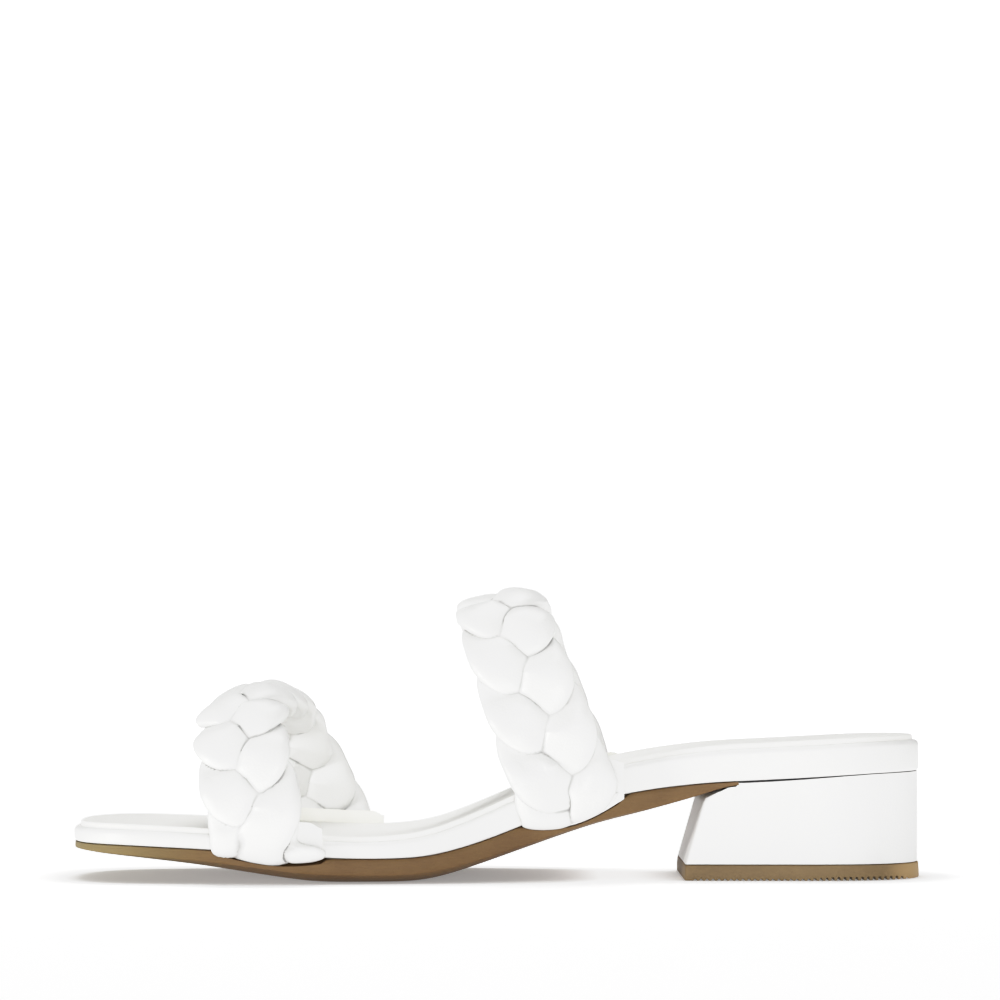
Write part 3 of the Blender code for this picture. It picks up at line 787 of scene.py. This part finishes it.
def makeBand(name, side):
    # a thin flat strip that stands against the footbed's side, inside the strap's foot
    size, arch = straps[name], arches[name]
    middle = (size["medialY"] if side > 0 else size["lateralY"]) + size["tabShift"]
    shape = bmesh.new()
    columns, rows = band["steps"]
    grid = bmesh.ops.create_grid(shape, x_segments=columns, y_segments=rows, size=1.0)["verts"]
    for vert in grid:
        across, up = vert.co.x, (vert.co.y + 1) / 2
        y = middle + (size["tabHalf"] - band["short"]) * across
        drop = band["cornerDrop"] * ease(abs(across), band["cornerFrom"], 1.0)
        low = size["bandLow"] or band["over"] - arch.tabDepth(y, side)
        z = jointHeight(y) + low + (size["tabRise"] - low - drop) * up
        vert.co = (edgeX(y, side) + side * (band["out"] + band["splay"] * up), y, z)
    faces = shape.faces[:]
    bmesh.ops.recalc_face_normals(shape, faces=faces)
    bmesh.ops.solidify(shape, geom=faces, thickness=band["thick"])
    # the inner face gets the yellowish tint, made paler as painted light
    innerOf = shape.verts.layers.float.new("inner")
    for vert in shape.verts:
        out = side * (vert.co.x - edgeX(vert.co.y, side))
        vert[innerOf] = 1 - ease(out, *band["inside"])
    ending = "Medial" if side > 0 else "Lateral"
    finished(name + "Band" + ending, shape, "tab", size["node"])


for strapName in straps:
    for bandSide in (1, -1):
        makeBand(strapName, bandSide)


# Outsole, heel and top lift

outsole = {
    "inset": 0.2,
    "gap": 0.25,
    "halfWay": 1.5,        # the steps start here: 2 is the top of the upright side, 1 its foot, 0 the tread
    "midThick": 0.25,
    "underSteps": ((0.0, 0.40), (0.12, 0.045), (0.38, 0.035), (1.7, 0.32), (3.0, 0.3), (3.3, 0.25),
                   (3.3, 0.15)),
    "topSteps": ((0.0, 0.2), (0.25, 0.05), (3.0, 0.0), (4.0, 0.0)),
    "crossCuts": np.arange(-123, 69, 2.0),
    "longCuts": (-20, 0, 20),
    "pocketIn": 9.0,       # the straps' ends lie this far in
    "pocketSoft": (-1.2, -0.4, 0.4, 1.2),      # a pocket's ends are evened out over these places
}


def strapDip(x, y):
    # how far the outsole's top makes way for the strap ends
    deepest = 0.0
    for arch in arches.values():
        for side in (1, -1):
            inside = side * (edgeX(y, side) - x)
            if inside < outsole["pocketIn"]:
                fade = 1 - ease(inside, 0.5 * outsole["pocketIn"], outsole["pocketIn"])
                depth = np.mean([arch.tabDepth(y + d, side) for d in outsole["pocketSoft"]])
                deepest = max(deepest, depth * fade)
    return float(deepest)


def makeOutsole():
    shape = flatBoard(outsole["inset"], outsole["midThick"], outsole["underSteps"], outsole["topSteps"])
    sliced(shape, outsole["crossCuts"], 1)
    sliced(shape, outsole["longCuts"], 0)
    cutAcross(shape, (0, last["tongueY"], 0), (0, 1, 0), clear_outer=True)
    bmesh.ops.holes_fill(shape, edges=shape.edges, sides=0)

    def heightOf(x, y, z):
        code = z + outsole["halfWay"]
        low, rim, top = treadHeight(y), rimHeight(y), jointHeight(y) - outsole["gap"]
        if code <= 1:
            return low + max(code, 0.0) * (rim - low)
        return rim + (code - 1) * (max(top - strapDip(x, y), rim + 0.5) - rim)

    bent(shape, heightOf)
    finished("outsoleMoulded", shape, "outsole", "outsole")


heel = {
    "breastTopY": 60.6,    # the front face leans forward towards the floor
    "breastFootY": 54.6,
    "backY": 124.6,
    "inset": 0.4,
    "taper": 0.955,
    "cornerRound": 1.8,
    "breastRound": 2.2,    # the front face rolls over under the outsole
    "breastFade": (61.5, 68.0),
    "levels": 16,
    "crossCuts": (*np.arange(64, 123, 3.0), 69.4, 70.4),
    "seatGap": 0.25,
    "jointOpen": 0.4,      # the joint with the footbed opens by this much
    "jointOpens": (68.0, 71.0),       # behind the outsole's tongue
    "jointCloses": (78.0, 112.0),
    "liftHigh": 4.5,
    "liftGap": 0.25,
}


def heelPlan(shape, inset):
    # the heel end of the footbed's outline, cut straight across at the breast
    planFace(shape, inset)
    cutAcross(shape, (0, heel["breastTopY"], 0), (0, 1, 0), clear_inner=True)
    corners = sorted(shape.verts, key=lambda v: v.co.y)[:2]
    bmesh.ops.bevel(shape, geom=corners, offset=heel["cornerRound"], affect="VERTICES", segments=5,
                    profile=0.5, material=-1)
    bmesh.ops.remove_doubles(shape, verts=shape.verts, dist=0.1)
    return next(iter(shape.faces))


def risen(shape, face, steps):
    # a solid from one flat face, with its upper face moved up and in step by step
    made = bmesh.ops.extrude_face_region(shape, geom=[face])["geom"]
    top = next(g for g in made if isinstance(g, bmesh.types.BMFace))
    bmesh.ops.translate(shape, vec=(0, 0, 1), verts=top.verts)
    bmesh.ops.recalc_face_normals(shape, faces=shape.faces)
    for inwards, up in steps:
        bmesh.ops.inset_region(shape, faces=[top], thickness=inwards, depth=up, use_even_offset=True)


def heelFoot(x, y):
    # a place in the heel's plan, moved to where it is at the foot
    back = heel["backY"] + heel["inset"]
    stretch = (back - heel["breastFootY"]) / (back - heel["breastTopY"])
    return x * heel["taper"], heel["backY"] - (heel["backY"] - y) * stretch


def heelSeat(y):
    # the heel's top, with the joint over it a little open towards the front
    under = rimHeight(y) if y < last["tongueY"] else jointHeight(y)
    opened = ease(y, *heel["jointOpens"]) * (1 - ease(y, *heel["jointCloses"]))
    return under - heel["seatGap"] - heel["jointOpen"] * opened


def makeHeel():
    shape = bmesh.new()
    face = heelPlan(shape, heel["inset"])
    risen(shape, face, [(0.0, 1.0)] * (heel["levels"] - 1))
    sliced(shape, heel["crossCuts"], 1)
    foot = heel["liftHigh"] + heel["liftGap"]
    radius = heel["breastRound"]
    for vert in shape.verts:
        x, y, code = vert.co
        t = code / heel["levels"]
        footX, footY = heelFoot(x, y)
        z = foot + (heelSeat(y) - foot) * t
        backwards = 0.0
        depth = heelSeat(y) - z
        if depth < radius:
            rolled = radius - math.sqrt(max(0.0, radius * radius - (radius - depth) ** 2))
            backwards = rolled * (1 - ease(y, *heel["breastFade"]))
        vert.co = (footX + (x - footX) * t, footY + (y - footY) * t + backwards, z)
    finished("heelWrapped", shape, "heel", "heel_block")


topLift = {
    "inset": 0.15,
    "wider": 1.018,        # it stands a little proud of the heel's foot
    "longer": 1.008,
    "middleY": 90,
    "topRound": 0.3,
    "footRound": 0.25,
    "ribPitch": 1.74,      # cross grooves in the tread that come out at its edge
    "ribCuts": 8,          # cuts to each rib
    "ribDeep": (0.55, 1.1),        # in front and behind
    "ribDeepens": (88, 100),
    "ribWall": (0.35, 0.75),       # how steep a groove's walls are, as shares of a wave
    "ribSpan": (54.5, 124),
    "ribBegins": (55.5, 58),
    "ribEnds": (117, 122),
    "fadeHigh": 1.8,
}


def ribDepth(y):
    # how far a groove of the tread goes up at y
    wave = 0.5 + 0.5 * math.cos(2 * math.pi * y / topLift["ribPitch"])
    ends = ease(y, *topLift["ribBegins"]) * (1 - ease(y, *topLift["ribEnds"]))
    shallow, deep = topLift["ribDeep"]
    depth = shallow + (deep - shallow) * ease(y, *topLift["ribDeepens"])
    return depth * ease(wave, *topLift["ribWall"]) * ends


def makeTopLift():
    size = topLift
    shape = bmesh.new()
    face = heelPlan(shape, size["inset"])
    risen(shape, face, [(size["inset"], 2.0)] + roundSteps(size["topRound"], 2))
    bottom = next(f for f in shape.faces if all(abs(v.co.z) < 1e-4 for v in f.verts))
    for inwards, away in [(0.0, 0.8)] + roundSteps(size["footRound"], 2):
        bmesh.ops.inset_region(shape, faces=[bottom], thickness=inwards, depth=away, use_even_offset=True)
    for vert in shape.verts:
        vert.co.x, vert.co.y = heelFoot(vert.co.x * size["wider"], vert.co.y)
        vert.co.y = size["middleY"] + (vert.co.y - size["middleY"]) * size["longer"]
    lowest = min(v.co.z for v in shape.verts)
    highest = max(v.co.z for v in shape.verts)
    bmesh.ops.translate(shape, vec=(0, 0, -lowest), verts=shape.verts)
    bmesh.ops.scale(shape, vec=(1, 1, heel["liftHigh"] / (highest - lowest)), verts=shape.verts)
    sliced(shape, np.arange(*size["ribSpan"], size["ribPitch"] / size["ribCuts"]), 1, 0.03)
    for vert in shape.verts:
        low = 1 - min(1.0, vert.co.z / size["fadeHigh"])
        vert.co.z += low * ribDepth(vert.co.y)
    finished("topLiftRibbed", shape, "lift", "top_lift")


makeOutsole()
makeHeel()
makeTopLift()


# Floor, light and camera

studio = {
    "floorSize": 6.0,
    "worldLight": 0.24,
    "backdrop": 2.0,
    # the floor glows, though it is no lamp, and its glow carries a painted contact shadow near the shoe
    "floorGlow": 0.86,
    "floorFar": 3.0,       # the paper glows this many times as much well away from the shoe
    "shadowReach": 0.016,
    "shadowFloor": 0.26,
    "shadowPower": 3.0,
    "aim": (0, 0, 0.02),   # all lamps point here
    "white": 1.6,          # this much light is shown as pure white
    "shoulder": ((0.5, 0.5), (0.8, 0.755), (1.05, 0.865), (1.3, 0.91)),      # light, and how it is shown
    "cameraX": 1.2,
    "cameraY": 0.0007,
    "cameraZ": 0.072,
    "lens": 145.5,
    "shiftUp": 0.133,
}


def makeFloor():
    shape = bmesh.new()
    bmesh.ops.create_grid(shape, x_segments=2, y_segments=2, size=studio["floorSize"])
    mesh = bpy.data.meshes.new("floor")
    shape.to_mesh(mesh)
    shape.free()
    floor = bpy.data.objects.new("floor", mesh)
    bpy.context.scene.collection.objects.link(floor)
    finish = Finish("glowingFloorPaintedShadow", Specular_IOR_Level=0.1, Emission_Strength=studio["floorGlow"])
    shade = finish.noise(3, 2) * 0.01
    # painted contact shadow: the floor's glow is darkened by an ambient occlusion node close to the shoe
    near = finish.node("ShaderNodeAmbientOcclusion", {"samples": 16}, Distance=studio["shadowReach"],
                       out="AO")
    dark, far = (studio["shadowFloor"],) * 3, (studio["floorFar"],) * 3
    away = finish.node("ShaderNodeVectorMath", {"operation": "LENGTH"}, finish.place, out="Value")
    glow = finish.between(near ** studio["shadowPower"], (*dark, 1), (1, 1, 1, 1))
    rising = finish.ramp(away * 0.2, (0.1, 0.0), (0.3, 1.0))      # from half a metre to one and a half
    glow = finish.between(rising, glow, (*far, 1))
    paper = finish.between(shade, (0.82, 0.82, 0.82, 1), (0.80, 0.80, 0.80, 1))
    mesh.materials.append(finish.wear(Base_Color=paper, Emission_Color=glow, Roughness=0.85 - shade))


def areaLight(name, place, target, size, watts):
    light = bpy.data.lights.new(name, "AREA")
    light.shape, light.size, light.energy = "DISK", size, watts
    lamp = bpy.data.objects.new(name, light)
    bpy.context.scene.collection.objects.link(lamp)
    lamp.location = place
    lamp.rotation_euler = (Vector(target) - Vector(place)).to_track_quat("-Z", "Y").to_euler()


lamps = (
    # name, place, width, watts
    ("nearLamp", (1.6, 0.1, 0.17), 0.32, 10.5),
    ("farLamp", (-1.5, 0.0, 0.5), 0.8, 2.0),
    ("toeLamp", (0.7, -1.4, 0.15), 0.28, 13.0),
    ("heelLamp", (0.4, 1.4, 0.5), 0.7, 2.0),
    ("topLamp", (-0.45, 0.0, 1.45), 1.0, 15.0),
)


def makeStudio():
    scene = bpy.context.scene
    world = bpy.data.worlds.new("softbox")
    world.use_nodes = True
    nodes, links = world.node_tree.nodes, world.node_tree.links
    seen = nodes.new("ShaderNodeMapRange")      # the paper behind the shoe is white, the light from it softer
    seen.inputs["To Min"].default_value = studio["worldLight"]
    seen.inputs["To Max"].default_value = studio["backdrop"]
    links.new(nodes.new("ShaderNodeLightPath").outputs["Is Camera Ray"], seen.inputs["Value"])
    links.new(seen.outputs["Result"], nodes["Background"].inputs["Strength"])
    nodes["Background"].inputs["Color"].default_value = (1, 1, 1, 1)
    scene.world = world
    for name, place, size, watts in lamps:
        areaLight(name, place, studio["aim"], size, watts)
    camera = bpy.data.objects.new("camera", bpy.data.cameras.new("camera"))
    scene.collection.objects.link(camera)
    camera.location = (studio["cameraX"], studio["cameraY"], studio["cameraZ"])
    camera.rotation_euler = (math.pi / 2, 0, math.pi / 2)
    camera.data.sensor_width = 36
    camera.data.lens = studio["lens"]
    camera.data.shift_y = studio["shiftUp"]
    scene.camera = camera
    view = scene.view_settings
    view.view_transform = "Standard"
    view.use_curve_mapping = True       # a soft shoulder, so that the white leather keeps its shape
    curve = view.curve_mapping
    curve.white_level = (studio["white"],) * 3
    for light, shown in studio["shoulder"]:
        curve.curves[3].points.new(light / studio["white"], shown)
    curve.update()


makeFloor()
makeStudio()
print("floor, light and camera in place")
